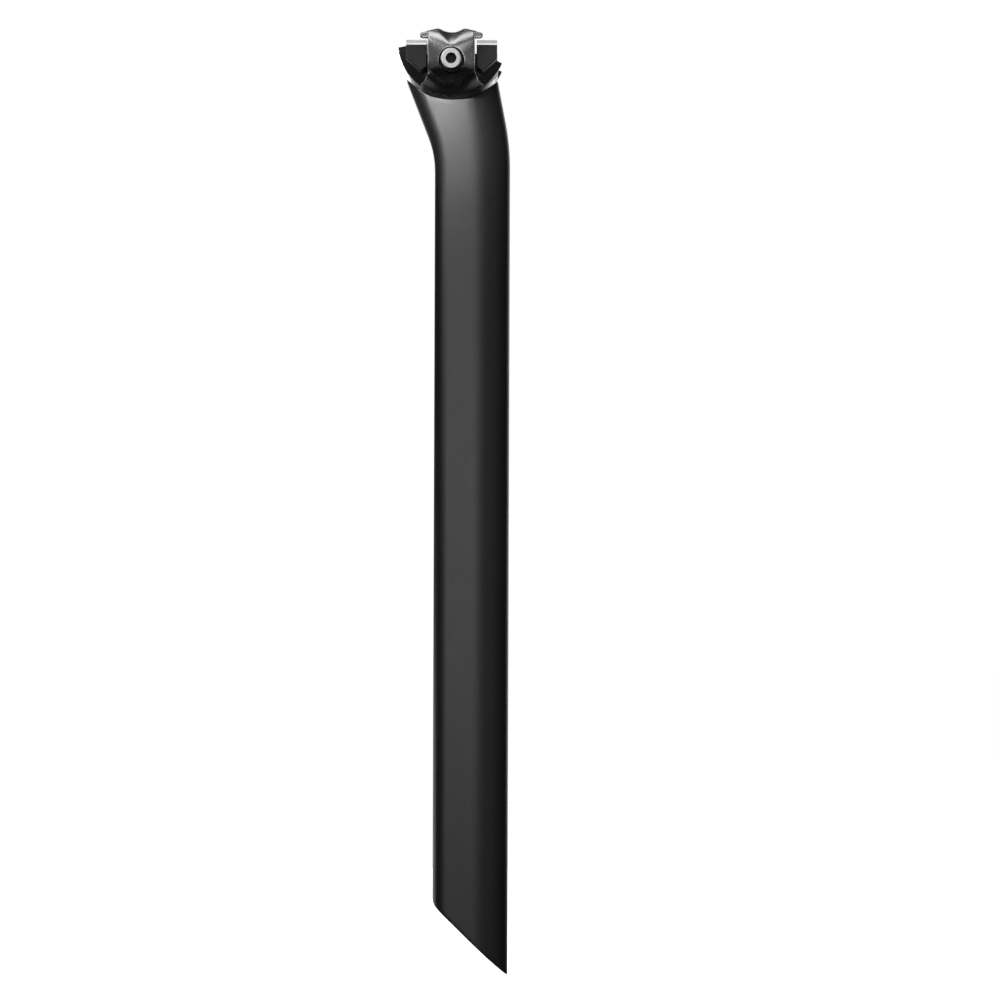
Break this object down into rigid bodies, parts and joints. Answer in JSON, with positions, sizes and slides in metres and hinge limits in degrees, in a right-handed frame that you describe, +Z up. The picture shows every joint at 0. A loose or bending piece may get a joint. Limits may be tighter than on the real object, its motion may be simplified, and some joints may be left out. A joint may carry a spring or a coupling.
{
  "type": "bicycle seatpost",
  "caption": "Hollow D-section bicycle seatpost with a slanted foot, a head leaning back, and a tilting side clamp that grips saddle rails with a cross bolt.",
  "frame": {"origin": "on the shaft's centre line, level with the lowest tip of the foot", "axes": "+X forward, +Y to the rider's left, +Z up along the shaft"},
  "size_m": [0.0493, 0.0612, 0.4016],
  "materials": {
    "carbon_shell": "satin black lacquer over carbon laminate",
    "rail_alloy": "black anodised, with bare machined crescents",
    "black_alloy": "satin black anodised, with bare rail seats",
    "gunmetal_alloy": "polished gunmetal forging",
    "bolt_steel": "satin steel"
  },
  "bodies": {
    "post": {"post": "carbon_shell", "arc_rail": "rail_alloy"},
    "cradle": {"cradle": "black_alloy"},
    "right_clamp": {"right_ear": "gunmetal_alloy", "bolt_washer": "bolt_steel"},
    "left_clamp": {"left_ear": "gunmetal_alloy", "sleeve_nut": "bolt_steel"},
    "bolt": {"clamp_bolt": "bolt_steel"}
  },
  "joints": [
    {"name": "clamp_tilt", "type": "hinge", "parent": "post", "child": "cradle", "pos_m": [-0.0088, 0, 0.3988], "axis": [0, 1, 0], "range_deg": [-12, 12]},
    {"name": "right_ear_slide", "type": "slide", "parent": "cradle", "child": "right_clamp", "axis": [0, -1, 0], "range_m": [0, 0.003]},
    {"name": "left_ear_slide", "type": "slide", "parent": "cradle", "child": "left_clamp", "axis": [0, 1, 0], "range_m": [0, 0.003]},
    {"name": "bolt_turn", "type": "hinge", "parent": "right_clamp", "child": "bolt", "pos_m": [-0.0088, 0, 0.388], "axis": [0, -1, 0], "range_deg": [0, 2700]}
  ],
  "couplings": [
    {"joint": "left_ear_slide", "follows": "right_ear_slide", "ratio": 1},
    {"joint": "bolt_turn", "follows": "right_ear_slide", "rad_per_m": 15708}
  ]
}
